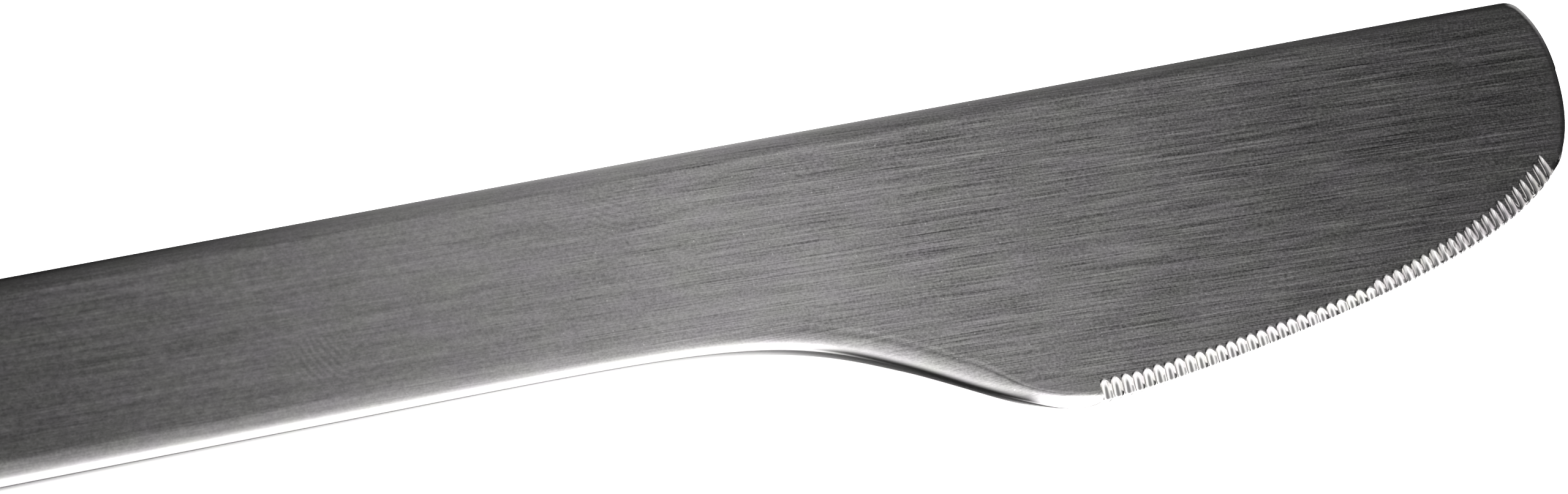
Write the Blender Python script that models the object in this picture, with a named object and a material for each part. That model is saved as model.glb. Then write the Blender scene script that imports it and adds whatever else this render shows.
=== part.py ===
"""Serrated table knife with a hollow steel handle, lying flat.

Frame: the origin is under the middle of the knife, +X runs to the tip, +Y to the spine, +Z is up.
Lengths are in metres.
"""

import functools
import math
from collections import namedtuple

import bmesh
import bpy
from mathutils import Matrix, Vector
from mathutils.geometry import interpolate_bezier

MM = 0.001

# Overall size
LENGTH = 206 * MM
WIDTH = 23.4 * MM
THICK = 4.5 * MM
GAP = 0.3 * MM  # left for the welds and for the film of cement

TIP_X = LENGTH / 2
BUTT_X = -LENGTH / 2
SPINE_Y = WIDTH / 2
BELLY_Y = -WIDTH / 2
MID_Z = THICK / 2

# Handle
JOINT_X = 28 * MM  # the shells end here, against the blade's shoulder
NECK_Y = -2.6 * MM  # lower edge of the handle at the neck
BUTT_Y = -2.4 * MM  # lower edge of the handle at the butt
BUTT_ROUND = 6 * MM  # length of the rounded rear end
EDGE_ROUND = 1.6 * MM
SHEET = 0.6 * MM
INSIDE = SHEET + GAP  # from the handle's outside to what it holds

# Outline from above. Each turn has a place, the outline's direction there and its curve handles' lengths
LEVEL = 0
UPRIGHT = math.pi / 2
BACKWARD = math.pi
Turn = namedtuple("Turn", "place angle before after")
NECK = Turn(Vector((10 * MM, NECK_Y)), LEVEL, 0, 27 * MM)
BEND = Turn(Vector((49.3 * MM, -6.8 * MM)), math.radians(-26), 9.8 * MM, 4.6 * MM)
HEEL = Turn(Vector((61.4 * MM, BELLY_Y)), LEVEL, 3.7 * MM, 4.8 * MM)
POINT = Turn(Vector((97.6 * MM, -3.7 * MM)), math.radians(30.5), 9.8 * MM, 3.45 * MM)
FRONT = Turn(Vector((TIP_X, 5.8 * MM)), UPRIGHT, 5.9 * MM, 2.4 * MM)
CORNER = Turn(Vector((101.5 * MM, 11.1 * MM)), math.radians(128), 1.5 * MM, 0.5 * MM)
TIP_END = Turn(Vector((100.2 * MM, SPINE_Y)), BACKWARD, 0.5 * MM, 0)
BUTT_TOP = Turn(Vector((BUTT_X + BUTT_ROUND, SPINE_Y)), BACKWARD, 0, 5.1 * MM)
BUTT_BACK = Turn(Vector((BUTT_X, (SPINE_Y + BUTT_Y) / 2)), -UPRIGHT, 4.3 * MM, 4.3 * MM)
BUTT_LOW = Turn(Vector((BUTT_X + BUTT_ROUND, BUTT_Y)), LEVEL, 5.1 * MM, 0)

# Blade, thickness
TAPER_X = 29 * MM  # from here the steel thins evenly to the tip, after an easy start
TAPER_START = 20 * MM
TIP_HALF = 0.8 * MM
TAPER = (THICK / 2 - TIP_HALF) / (TIP_X - TAPER_X - TAPER_START / 2)
EDGE_HALF = 0.22 * MM
BACK_BEVEL = 2.5 * MM  # width of the lower side's bevel. The upper side's is as wide as the flutes are long
BLADE_ROUND = 0.55 * MM  # rounding of the spine and the tip
ROUND_SHARE = 0.85  # most of the half thickness that a rounding may take

# Serrations, ground into the upper side
FLUTES = 48
FLUTE_PITCH = 0.83 * MM
FLUTES_START = 1.5 * MM  # from the heel, along the edge
FLUTE_FLOOR = -0.1 * MM  # height of a flute's floor at the edge, from the middle of the blade
FLUTE_LENGTHS = (1.4 * MM, 1.05 * MM, 1.7 * MM)  # at the heel, in the middle, at the tip
FLUTE_LEANS = (math.radians(6), math.radians(16))  # at the heel, at the tip
FLUTE_FILL = 0.47  # a flute's radius, as a share of the distance to the next one
FLUTE_SIDES = 12
FLUTE_REACH = 3 * MM

# Tang
SPIGOT = 3 * MM
TANG_LENGTH = 45 * MM
TANG_WIDTH = 8 * MM
TANG_THICK = 1.2 * MM

# Fineness of the curved faces
CURVE_POINTS = 14
ROUND_STEPS = 5
AVERAGE_ALONG = 3 * MM  # directions of the outline are averaged this far both ways
NET_COLUMNS = 16
NET_ROWS = 10


def clear_scene():
    for obj in list(bpy.data.objects):
        bpy.data.objects.remove(obj, do_unlink=True)


def material(name, colour, roughness, metallic):
    made = bpy.data.materials.new(name)
    made.use_nodes = True
    shader = made.node_tree.nodes["Principled BSDF"]
    shader.inputs["Base Color"].default_value = (*colour, 1)
    shader.inputs["Roughness"].default_value = roughness
    shader.inputs["Metallic"].default_value = metallic
    return made


def mesh_object(name, bm):
    mesh = bpy.data.meshes.new(name)
    bm.to_mesh(mesh)
    bm.free()
    obj = bpy.data.objects.new(name, mesh)
    bpy.context.scene.collection.objects.link(obj)
    return obj


def piece(name, bm, finish, parent):
    obj = mesh_object(name, bm)
    obj.data.materials.append(finish)
    obj.parent = parent
    return obj


def combine(obj, operation, name, bm):
    """Joins the shape bm to an object or cuts it out, and keeps it as a hidden helper."""
    helper = mesh_object(name, bm)
    helper.hide_render = True
    helper.display_type = "WIRE"
    modifier = obj.modifiers.new(name, "BOOLEAN")
    modifier.operation = operation
    modifier.object = helper


def mix(a, b, share):
    return a + (b - a) * share


def clamp(value):
    return min(max(value, 0), 1)


def smoothstep(value, low, high):
    share = clamp((value - low) / (high - low))
    return share * share * (3 - 2 * share)


def heading(angle):
    return Vector((math.cos(angle), math.sin(angle)))


def curve_through(*turns):
    """Points of a smooth curve from the first turn to the last."""
    points = []
    for start, end in zip(turns, turns[1:]):
        leave = start.place + heading(start.angle) * start.after
        arrive = end.place - heading(end.angle) * end.before
        points += interpolate_bezier(start.place, leave, arrive, end.place, CURVE_POINTS)[:-1]
    return points + [turns[-1].place]


@functools.cache
def cutting_edge():
    """The lower outline from the heel to the front of the tip."""
    return curve_through(HEEL, POINT, FRONT)


@functools.cache
def belly():
    """The lower outline from the bend to the tip's front, where the border turns from round to bevelled."""
    return curve_through(BEND, HEEL, POINT, FRONT)


@functools.cache
def outline():
    """The whole knife from above, anticlockwise from the neck."""
    blade = curve_through(NECK, BEND, HEEL, POINT, FRONT, CORNER, TIP_END)
    return blade + curve_through(BUTT_TOP, BUTT_BACK, BUTT_LOW)


def outline_face():
    """The knife's outline as one face at height 0."""
    bm = bmesh.new()
    bm.faces.new([bm.verts.new((*point, 0)) for point in outline()])
    return bm


def along(points, distance):
    """The place at this distance along a line of points, and the line's direction there."""
    for start, end in zip(points, points[1:]):
        step = (end - start).length
        if distance <= step or end is points[-1]:
            break
        distance -= step
    direction = (end - start) / step
    return start + direction * distance, direction


def inset(points, depth):
    """A line of points moved to its left. Averaged directions keep it from folding in a tight corner."""
    moved = []
    mark = 0
    for point, before in zip(points, points[:1] + points):
        mark += (point - before).length
        behind, _ = along(points, mark - AVERAGE_ALONG)
        ahead, _ = along(points, mark + AVERAGE_ALONG)
        run = (ahead - behind).normalized()
        moved.append(point + Vector((-run.y, run.x)) * depth)
    return moved


def blade_face():
    """The front of the knife's outline at height 0, with rings of faces along it for the rounding."""
    line = curve_through(NECK, BEND, HEEL, POINT, FRONT, CORNER, TIP_END)
    line.append(Vector((NECK.place.x, SPINE_Y)))
    bm = bmesh.new()
    outer = [bm.verts.new((*point, 0)) for point in line]
    for step in range(1, ROUND_STEPS + 1):
        depth = EDGE_ROUND * (1 - math.cos(step / ROUND_STEPS * math.pi / 2))
        inner = [bm.verts.new((*point, 0)) for point in inset(line, depth)]
        for here in range(len(line) - 1):
            bm.faces.new((outer[here], outer[here + 1], inner[here + 1], inner[here]))
        outer = inner
    bm.faces.new(outer)
    return bm


def slice_at(bm, place, normal, cut_off=False):
    """Cuts all faces along a plane, and takes away what lies on the side of its normal if asked to."""
    everything = bm.verts[:] + bm.edges[:] + bm.faces[:]
    made = bmesh.ops.bisect_plane(
        bm, geom=everything, plane_co=place, plane_no=normal, clear_outer=cut_off
    )
    return [item for item in made["geom_cut"] if isinstance(item, bmesh.types.BMEdge)]


def thicken(bm, bottom, top):
    """Makes a face at height 0 a plate between two heights."""
    bmesh.ops.translate(bm, verts=bm.verts, vec=(0, 0, bottom))
    made = bmesh.ops.extrude_face_region(bm, geom=bm.faces[:])
    raised = [item for item in made["geom"] if isinstance(item, bmesh.types.BMVert)]
    bmesh.ops.translate(bm, verts=raised, vec=(0, 0, top - bottom))
    bmesh.ops.recalc_face_normals(bm, faces=bm.faces)


def box(low, high):
    low = Vector(low)
    high = Vector(high)
    bm = bmesh.new()
    bmesh.ops.create_cube(bm, size=1, matrix=Matrix.LocRotScale((low + high) / 2, None, high - low))
    return bm


def distance_to(points, place):
    """How far a place is from a line of points."""
    shortest = math.inf
    for start, end in zip(points, points[1:]):
        run = end - start
        share = clamp((place - start).dot(run) / run.length_squared)
        shortest = min(shortest, (place - start - run * share).length)
    return shortest


def flute_length(share):
    """Length of a flute at a share of the way from the heel to the tip."""
    heel_length, middle_length, tip_length = FLUTE_LENGTHS
    length = mix(heel_length, middle_length, clamp(2 * share))
    return mix(length, tip_length, clamp(2 * share - 1))


def half_thickness(place, side):
    """Half of the steel's thickness above or below the middle: it thins from the neck to the tip, and with a
    curved bevel to the cutting edge. side is 1 above and -1 below."""
    ahead = max(place.x - TAPER_X, 0)
    start = min(ahead, TAPER_START)
    half = THICK / 2 - TAPER * (start * start / TAPER_START / 2 + ahead - start)
    share = clamp((place.x - HEEL.place.x) / (TIP_X - HEEL.place.x))
    width = flute_length(share) if side > 0 else BACK_BEVEL
    to_edge = math.sin(clamp(distance_to(belly(), place) / width) * math.pi / 2)
    bevelled = smoothstep(place.x, BEND.place.x, HEEL.place.x)
    half = mix(half, mix(EDGE_HALF, half, to_edge), bevelled)
    radius = min(mix(EDGE_ROUND, BLADE_ROUND * to_edge, bevelled), half * ROUND_SHARE)
    inward = max(radius - distance_to(outline(), place), 0)
    return half - radius + math.sqrt(radius * radius - inward * inward)


def shape_blade(bm):
    """Lays a net of cuts over both faces and gives every point on them its own height."""
    for step in range(NET_COLUMNS):
        slice_at(bm, (mix(TAPER_X, TIP_X, step / NET_COLUMNS), 0, 0), (1, 0, 0))
    for step in range(1, NET_ROWS):
        slice_at(bm, (0, mix(BELLY_Y, SPINE_Y, step / NET_ROWS), 0), (0, 1, 0))
    for vert in bm.verts:
        side = math.copysign(1, vert.co.z - MID_Z)
        vert.co.z = MID_Z + side * half_thickness(vert.co.xy, side)


def flute_tools():
    """One round grinding tool for each flute, side by side along the edge."""
    edge = cutting_edge()
    bm = bmesh.new()
    for number in range(FLUTES):
        share = number / (FLUTES - 1)
        root, direction = along(edge, FLUTES_START + number * FLUTE_PITCH)
        lean = mix(*FLUTE_LEANS, share)
        uphill = Vector((-math.sin(lean), math.cos(lean)))
        length = flute_length(share)
        rise = half_thickness(root + uphill * length, 1) - FLUTE_FLOOR
        axis = Vector((*uphill * length, rise)).normalized()
        across = Vector((uphill.y, -uphill.x, 0))
        above = across.cross(axis)
        radius = FLUTE_FILL * FLUTE_PITCH * abs(direction.cross(uphill))
        centre = Vector((*root, MID_Z + FLUTE_FLOOR)) + above * radius
        turn = Matrix((above, across, axis)).transposed().to_4x4()
        bmesh.ops.create_cone(
            bm,
            cap_ends=True,
            segments=FLUTE_SIDES,
            radius1=radius,
            radius2=radius,
            depth=2 * FLUTE_REACH,
            matrix=Matrix.Translation(centre) @ turn,
        )
    bmesh.ops.recalc_face_normals(bm, faces=bm.faces)
    return bm


def round_to_fit(bm, edges):
    """Rounds edges of what lies inside the handle, to fit the shells' rounded border."""
    bmesh.ops.bevel(
        bm, geom=edges, offset=EDGE_ROUND - INSIDE, segments=ROUND_STEPS, profile=0.5, affect="EDGES"
    )


def spigot():
    """The step on the shoulder that fits inside the shells."""
    low = (JOINT_X - SPIGOT, NECK_Y + INSIDE, INSIDE)
    bm = box(low, (JOINT_X + SPIGOT, SPINE_Y - INSIDE, THICK - INSIDE))
    ends = [face for face in bm.faces if abs(face.normal.x) > 0.5]
    round_to_fit(bm, [edge for edge in bm.edges if not any(face in ends for face in edge.link_faces)])
    return bm


def tang(clearance=0):
    """The flat tail of the blade, or with a clearance the slot that holds it."""
    middle_y = (NECK_Y + SPINE_Y) / 2
    low = (JOINT_X - SPIGOT - TANG_LENGTH, middle_y - TANG_WIDTH / 2, MID_Z - TANG_THICK / 2)
    high = (JOINT_X, middle_y + TANG_WIDTH / 2, MID_Z + TANG_THICK / 2)
    grow = Vector((clearance, clearance, clearance))
    return box(Vector(low) - grow, Vector(high) + grow)


def make_blade(finish, parent):
    """The forging: shoulder, neck and serrated blade, with the spigot and the tang behind."""
    bm = blade_face()
    slice_at(bm, (JOINT_X - SPIGOT, 0, 0), (-1, 0, 0), cut_off=True)
    thicken(bm, 0, THICK)
    shape_blade(bm)
    shoulder = slice_at(bm, (JOINT_X + GAP, 0, 0), (-1, 0, 0), cut_off=True)
    bmesh.ops.edgeloop_fill(bm, edges=shoulder)
    bmesh.ops.recalc_face_normals(bm, faces=bm.faces)
    blade = piece("blade", bm, finish, parent)
    combine(blade, "UNION", "spigot", spigot())
    combine(blade, "UNION", "tang", tang())
    combine(blade, "DIFFERENCE", "flute_tools", flute_tools())


def make_half_shell(name, side, finish, parent):
    """A drawn tray, open at the middle plane and towards the blade. side is 1 above and -1 below."""
    bm = outline_face()
    slice_at(bm, (JOINT_X, 0, 0), (1, 0, 0), cut_off=True)
    thicken(bm, GAP / 2, THICK / 2)
    open_sides = [face for face in bm.faces if face.normal.z < -0.5 or face.normal.x > 0.99]
    bmesh.ops.delete(bm, geom=open_sides, context="FACES")
    top = max(bm.faces, key=lambda face: face.normal.z)
    rim = [edge for edge in top.edges if len(edge.link_faces) == 2]
    bmesh.ops.bevel(
        bm, geom=rim, offset=EDGE_ROUND, segments=ROUND_STEPS, profile=0.5, affect="EDGES"
    )
    if side < 0:
        bmesh.ops.scale(bm, verts=bm.verts, vec=(1, 1, -1))
        bmesh.ops.reverse_faces(bm, faces=bm.faces)
    shell = piece(name, bm, finish, parent)
    shell.location.z = MID_Z
    sheet = shell.modifiers.new("sheet", "SOLIDIFY")
    sheet.thickness = SHEET
    sheet.offset = -1
    sheet.use_even_offset = True


def make_cement(finish, parent):
    """The filling of the shells, with a slot for the tang."""
    bm = outline_face()
    slice_at(bm, (JOINT_X, 0, 0), (1, 0, 0), cut_off=True)
    ring = bmesh.ops.inset_region(
        bm, faces=bm.faces[:], thickness=INSIDE, use_even_offset=True, use_boundary=True
    )
    bmesh.ops.delete(bm, geom=ring["faces"], context="FACES")
    thicken(bm, INSIDE, THICK - INSIDE)
    flats = [face for face in bm.faces if abs(face.normal.z) > 0.5]
    round_to_fit(bm, [edge for flat in flats for edge in flat.edges])
    end = slice_at(bm, (JOINT_X - SPIGOT - GAP, 0, 0), (1, 0, 0), cut_off=True)
    bmesh.ops.edgeloop_fill(bm, edges=end)
    bmesh.ops.recalc_face_normals(bm, faces=bm.faces)
    cement = piece("tang_cement", bm, finish, parent)
    combine(cement, "DIFFERENCE", "tang_slot", tang(GAP))


def main():
    clear_scene()
    knife = bpy.data.objects.new("knife", None)
    bpy.context.scene.collection.objects.link(knife)
    steel = material("brushed_steel", (0.33, 0.33, 0.33), 0.38, 1)
    filling = material("cement", (0.52, 0.49, 0.43), 0.9, 0)
    make_blade(steel, knife)
    make_half_shell("handle_half_upper", 1, steel, knife)
    make_half_shell("handle_half_lower", -1, steel, knife)
    make_cement(filling, knife)


main()
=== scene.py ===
"""Looks of the serrated table knife: finely modelled blade and handle shells in brushed steel.

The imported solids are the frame. Lengths are in metres, and shader patterns are laid out in millimetres.
"""

import math
from collections import namedtuple

import bmesh
import bpy
import numpy as np
from mathutils import Matrix, Vector
from mathutils.geometry import delaunay_2d_cdt, interpolate_bezier


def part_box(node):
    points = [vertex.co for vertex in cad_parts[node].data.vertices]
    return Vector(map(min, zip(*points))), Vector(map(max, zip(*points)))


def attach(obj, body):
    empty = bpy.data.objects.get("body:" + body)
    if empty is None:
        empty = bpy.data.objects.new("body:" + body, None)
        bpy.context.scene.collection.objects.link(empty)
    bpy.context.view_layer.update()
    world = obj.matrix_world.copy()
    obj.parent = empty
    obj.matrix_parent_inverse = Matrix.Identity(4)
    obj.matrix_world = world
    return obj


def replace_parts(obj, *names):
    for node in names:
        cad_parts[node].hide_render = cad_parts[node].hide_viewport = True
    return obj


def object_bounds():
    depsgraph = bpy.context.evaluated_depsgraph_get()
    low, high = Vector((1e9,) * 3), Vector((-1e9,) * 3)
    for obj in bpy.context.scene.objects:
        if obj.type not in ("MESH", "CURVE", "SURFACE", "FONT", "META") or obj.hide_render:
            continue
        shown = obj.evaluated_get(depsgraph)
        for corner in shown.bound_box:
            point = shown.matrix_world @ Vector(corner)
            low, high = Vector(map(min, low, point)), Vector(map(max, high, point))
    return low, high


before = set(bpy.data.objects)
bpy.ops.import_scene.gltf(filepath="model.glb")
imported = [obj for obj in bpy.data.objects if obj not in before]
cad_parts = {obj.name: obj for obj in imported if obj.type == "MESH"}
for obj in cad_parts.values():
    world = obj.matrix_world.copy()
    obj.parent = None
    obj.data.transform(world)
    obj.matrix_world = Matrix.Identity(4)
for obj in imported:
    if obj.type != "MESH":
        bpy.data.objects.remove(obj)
CAD_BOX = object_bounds()

MM = 0.001

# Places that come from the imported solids
BUTT_X = CAD_BOX[0].x
TIP_X = CAD_BOX[1].x
BELLY_Y = CAD_BOX[0].y
SPINE_Y = CAD_BOX[1].y
FLOOR_Z = CAD_BOX[0].z
THICK = CAD_BOX[1].z - CAD_BOX[0].z
MID_Z = FLOOR_Z + THICK / 2
JOINT_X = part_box("handle_half_upper")[1].x

# Outline from above. A turn is a place, the direction there, and its pull on the curve before and after
LEVEL = 0
UPRIGHT = math.pi / 2
BACKWARD = math.pi
NECK_Y = -2.6 * MM
BUTT_Y = -2.4 * MM
BUTT_ROUND = 6 * MM
EDGE_OVER = 0.15 * MM  # how far the honed edge reaches beyond the solid
Turn = namedtuple("Turn", "place angle before after")
NECK = Turn(Vector((10 * MM, NECK_Y)), LEVEL, 0, 27 * MM)
BEND = Turn(Vector((49.3 * MM, -6.8 * MM)), math.radians(-26), 9.8 * MM, 4.6 * MM)
HEEL = Turn(Vector((61.4 * MM, BELLY_Y - EDGE_OVER)), LEVEL, 3.7 * MM, 4.8 * MM)
POINT = Turn(Vector((97.6 * MM, -3.8 * MM)), math.radians(30.5), 9.8 * MM, 3.45 * MM)
FRONT = Turn(Vector((TIP_X, 5.8 * MM)), UPRIGHT, 5.9 * MM, 2.4 * MM)
CORNER = Turn(Vector((101.5 * MM, 11.1 * MM)), math.radians(128), 1.5 * MM, 0.5 * MM)
TIP_END = Turn(Vector((100.2 * MM, SPINE_Y)), BACKWARD, 0.5 * MM, 0)
SPINE_JOINT = Turn(Vector((JOINT_X, SPINE_Y)), BACKWARD, 0, 0)
BUTT_TOP = Turn(Vector((BUTT_X + BUTT_ROUND, SPINE_Y)), BACKWARD, 0, 5.1 * MM)
BUTT_BACK = Turn(Vector((BUTT_X, (SPINE_Y + BUTT_Y) / 2)), -UPRIGHT, 4.3 * MM, 4.3 * MM)
BUTT_LOW = Turn(Vector((BUTT_X + BUTT_ROUND, BUTT_Y)), LEVEL, 5.1 * MM, 0)
CURVE_POINTS = 80

# Thickness, as half heights from the middle plane
TAPER_X = 29 * MM  # from here the steel thins evenly to the tip, after an easy start
TAPER_START = 20 * MM
TIP_HALF = 0.8 * MM
TAPER = (THICK / 2 - TIP_HALF) / (TIP_X - TAPER_X - TAPER_START / 2)
EDGE_HALF = 0.06 * MM
BACK_BEVEL = 2.5 * MM  # width of the lower side's bevel
HEEL_BEVEL = 0.7 * MM  # width of the upper side's bevel before the heel
FLUTE_BEVEL = 0.2 * MM  # and from the first flutes on
NARROWING = (HEEL.place.x - 0.6 * MM, HEEL.place.x + 1.2 * MM)  # it narrows between these places
UPPER_BEVEL_FROM = 53 * MM  # here the bevels begin, to be full at the heel
BACK_BEVEL_FROM = 44 * MM

# Radius of the rounded outline
HANDLE_ROUND = 1.6 * MM
BLADE_ROUND = 0.55 * MM
BELLY_CHANGE = (53 * MM, 58.5 * MM)  # between these places the rounding shrinks along the belly
SPINE_CHANGE = (48 * MM, 100 * MM)  # and along the spine
FLUTED_ROUND = 0.3  # share of the rounding that is left along the flutes
BELLY_SIDE = (2 * MM, -2 * MM)  # the belly's rounding fades into the spine's between these places across
ROUND_SHARE = 0.85  # most of the half thickness that a rounding may take

# Serrations, ground into the upper side
FLUTES = 48
FLUTE_PITCH = 0.83 * MM
FLUTES_START = 1.2 * MM  # from the heel to the first flute's middle, along the edge
FLUTE_FLOOR = 0.3  # height of a flute's floor at the edge, as a share of the half thickness
FLUTE_LENGTHS = (1.32 * MM, 0.97 * MM, 1.85 * MM)  # at the heel, in the middle, at the tip
FLUTE_LEANS = (math.radians(13), math.radians(23), math.radians(19))  # to the handle, at the same places
FLUTE_DEPTH = 0.46 * FLUTE_PITCH  # from the ridge between two flutes
FLUTE_POWERS = (2.5, 3.2)  # their profiles at the heel and tip: 2 is a parabola, more has steeper sides
FLUTE_SKEW = 0.58  # share of a flute's width that lies on the heel's side of its deepest line
FLUTE_RIM = 0.05 * MM  # width of a flute's rounded rim
GROUND_DEPTHS = (-0.005 * MM, 0.01 * MM)  # below the face, where the grinder's finish and its painted highlight begin
SHADE_DEPTHS = (0.2 * MM, 0.5 * MM)  # below the face, where painted shade on a flute's floor fades in
SHADE_WIDEST = 1 * MM  # below the face, where the painted shade is as wide as it gets
SHADE_MIDDLE = 0.22  # where it is across a flute, from -1 to 1
SHADE_SIDES = (0.28, 0.58)  # how far it reaches to each side, at its narrowest and widest
SHADE_CORE = 0.35  # share of that reach in which the painted shade is full
TIP_FLUTES = 0.72  # from this share on, flutes get narrower and deeper to the tip, with more painted shade
TIP_WIDTH = 0.85  # width of the last flute, as a share of the pitch
TIP_DEPTH = 0.8  # its depth, as a share of the cut at the edge
TIP_SHADE_REACH = 1.25  # how much wider its painted shade is
TIP_SHADE_DEPTH = 0.6  # and how much nearer to the face it begins
FLUTE_SPREAD = 0.04  # how much the flutes' lengths differ by chance
FLUTE_SEED = 7
SHORT_FLUTE = 26  # here two passes of the grinder meet
SHORT_SHARE = 0.8  # and this flute is shorter
SCALLOP = 0.03 * MM  # how far the edge steps back in a flute
LEAN_IN = 3 * MM  # the mesh turns into the flutes' direction over this length of outline
LEAN_OUT = 4 * MM  # and back over this one

# Inside of the handle
SHEET = 0.6 * MM
GAP = 0.3 * MM
SPIGOT = 3 * MM
TANG_LENGTH = 45 * MM
TANG_WIDTH = 8 * MM
TANG_THICK = 1.2 * MM
SHOULDER_INSET = 0.1 * MM  # a first step inward where spigot and tang begin

# Fineness of the meshes
FLUTE_COLUMNS = 14
FLUTE_RINGS = 14
NECK_STEP = 0.4 * MM
FRONT_STEP = 0.2 * MM
CORNER_STEP = 0.06 * MM
CORNER_FROM = 2 * MM  # the finest steps begin this far past the foremost place
CORNER_TO = 1 * MM  # and end this far past the tip's corner
SPINE_STEP = 1 * MM
HANDLE_STEP = 4 * MM
BUTT_STEP = 0.25 * MM
ROUND_RINGS = 18
ROUND_TURNS = np.linspace(0, math.pi / 2, ROUND_RINGS + 1)
RING_STEP = 0.11 * MM
RINGS_END = 2.4 * MM
FACE_RIM = 0.05 * MM  # a narrow ring keeps the shading of the rounding off the handle's face
INNER_GRID = 1 * MM
INNER_MARGIN = 0.5 * MM
SAME_PLACE = 1e-9
INSIDE_ONLY = 1  # the kind of triangulation that leaves out what is outside the border
AVERAGE_ALONG = 3 * MM
SHARP_ANGLE = math.radians(38)

# Map for the brushing
BRUSH_MAP = "brushing"
MAP_SHIFT = (0.3, 0.7)  # how far it moves with the height, so that upright walls have an area in it


def mix(a, b, share):
    return a + (b - a) * share


def clamp(value):
    return np.clip(value, 0, 1)


def smoothstep(value, low, high):
    share = clamp((value - low) / (high - low))
    return share * share * (3 - 2 * share)


def unit(vectors):
    return vectors / np.linalg.norm(vectors, axis=-1, keepdims=True)


def heading(angle):
    return Vector((math.cos(angle), math.sin(angle)))


def curve_through(*turns):
    """Points of a smooth curve from the first turn to the last, one row each."""
    points = []
    for start, end in zip(turns, turns[1:]):
        leave = start.place + heading(start.angle) * start.after
        arrive = end.place - heading(end.angle) * end.before
        points += interpolate_bezier(start.place, leave, arrive, end.place, CURVE_POINTS)[:-1]
    return np.array(points + [turns[-1].place])


def cut_at_joint(points, keep_front):
    """The part of a line before or behind the joint of blade and handle, with a point on the joint."""
    kept = points[:, 0] > JOINT_X if keep_front else points[:, 0] < JOINT_X
    height = np.interp(JOINT_X, points[:, 0], points[:, 1])
    seam = np.array([[JOINT_X, height]])
    return np.vstack([seam, points[kept]] if keep_front else [points[kept], seam])


class Line:
    """A line of points that is read by the distance along it."""

    def __init__(self, points):
        self.points = points
        steps = np.linalg.norm(np.diff(points, axis=0), axis=1)
        self.marks = np.concatenate([[0], np.cumsum(steps)])
        self.length = self.marks[-1]

    def at(self, distance):
        return np.stack([np.interp(distance, self.marks, axis) for axis in self.points.T], axis=-1)

    def normal(self, distance):
        """The direction to the left of the line, averaged over a stretch of it."""
        ahead = self.at(np.minimum(distance + AVERAGE_ALONG, self.length))
        behind = self.at(np.maximum(distance - AVERAGE_ALONG, 0))
        run = unit(ahead - behind)
        return np.stack([-run[:, 1], run[:, 0]], axis=-1)

    def mark_of(self, place):
        """The distance along the line of the point that is nearest to a place."""
        return self.marks[np.argmin(np.linalg.norm(self.points - np.array(place), axis=1))]

    def distance_to(self, places):
        """How far each place is from the line."""
        shortest = np.full(len(places), np.inf)
        for start, run in zip(self.points, np.diff(self.points, axis=0)):
            share = clamp((places - start) @ run / (run @ run))
            apart = places - start - share[:, None] * run
            shortest = np.minimum(shortest, np.linalg.norm(apart, axis=1))
        return shortest


LOWER_LINE = curve_through(NECK, BEND, HEEL, POINT, FRONT, CORNER, TIP_END)
BELLY = Line(curve_through(BEND, HEEL, POINT, FRONT))
BLADE_LINE = Line(np.vstack([cut_at_joint(LOWER_LINE, True), [SPINE_JOINT.place]]))
BUTT_LINE = curve_through(BUTT_TOP, BUTT_BACK, BUTT_LOW)
NECK_LINE = cut_at_joint(curve_through(NECK, BEND), False)
HANDLE_LINE = Line(np.vstack([[SPINE_JOINT.place], BUTT_LINE, NECK_LINE]))


def spaced(start, end, step):
    """Marks from start up to, but without, the end."""
    count = max(round((end - start) / step), 1)
    return np.linspace(start, end, count, endpoint=False)


def between(values, share):
    """Goes evenly from the first of three values to the second, halfway, and on to the third."""
    first, middle, last = values
    return mix(mix(first, middle, clamp(2 * share)), last, clamp(2 * share - 1))


def uphill(share):
    """The direction along a flute, away from the edge, at a share of the way to the last flute."""
    lean = between(FLUTE_LEANS, share)
    return np.stack([-np.sin(lean), np.cos(lean)], axis=-1)


def tapered(x):
    """Half of the steel's thickness before bevels and rounding. It thins from the neck to the tip."""
    ahead = np.maximum(x - TAPER_X, 0)
    easy = np.minimum(ahead, TAPER_START)
    return THICK / 2 - TAPER * (easy ** 2 / TAPER_START / 2 + ahead - easy)


def half_thickness(places, side):
    """Half of the steel's thickness above the middle, with side 1, or below it, with side -1.

    A curved bevel thins it to the cutting edge, and its border is rounded.
    """
    x = places[:, 0]
    narrowed = smoothstep(x, *NARROWING)
    if side > 0:
        width = mix(HEEL_BEVEL, FLUTE_BEVEL, narrowed)
        bevelled = smoothstep(x, UPPER_BEVEL_FROM, HEEL.place.x)
    else:
        width = BACK_BEVEL
        bevelled = smoothstep(x, BACK_BEVEL_FROM, HEEL.place.x)
    to_edge = np.sin(clamp(BELLY.distance_to(places) / width) * math.pi / 2)
    whole = tapered(x)
    half = mix(whole, mix(EDGE_HALF, whole, to_edge), bevelled)
    on_belly = smoothstep(places[:, 1], *BELLY_SIDE)
    smaller = mix(smoothstep(x, *SPINE_CHANGE), smoothstep(x, *BELLY_CHANGE), on_belly)
    radius = mix(HANDLE_ROUND, BLADE_ROUND, smaller) * mix(1, to_edge, bevelled)
    radius = np.minimum(radius * mix(1, FLUTED_ROUND, narrowed * on_belly), half * ROUND_SHARE)
    inward = np.maximum(radius - BLADE_LINE.distance_to(places), 0)
    return half - radius + np.sqrt(radius ** 2 - inward ** 2)


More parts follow.
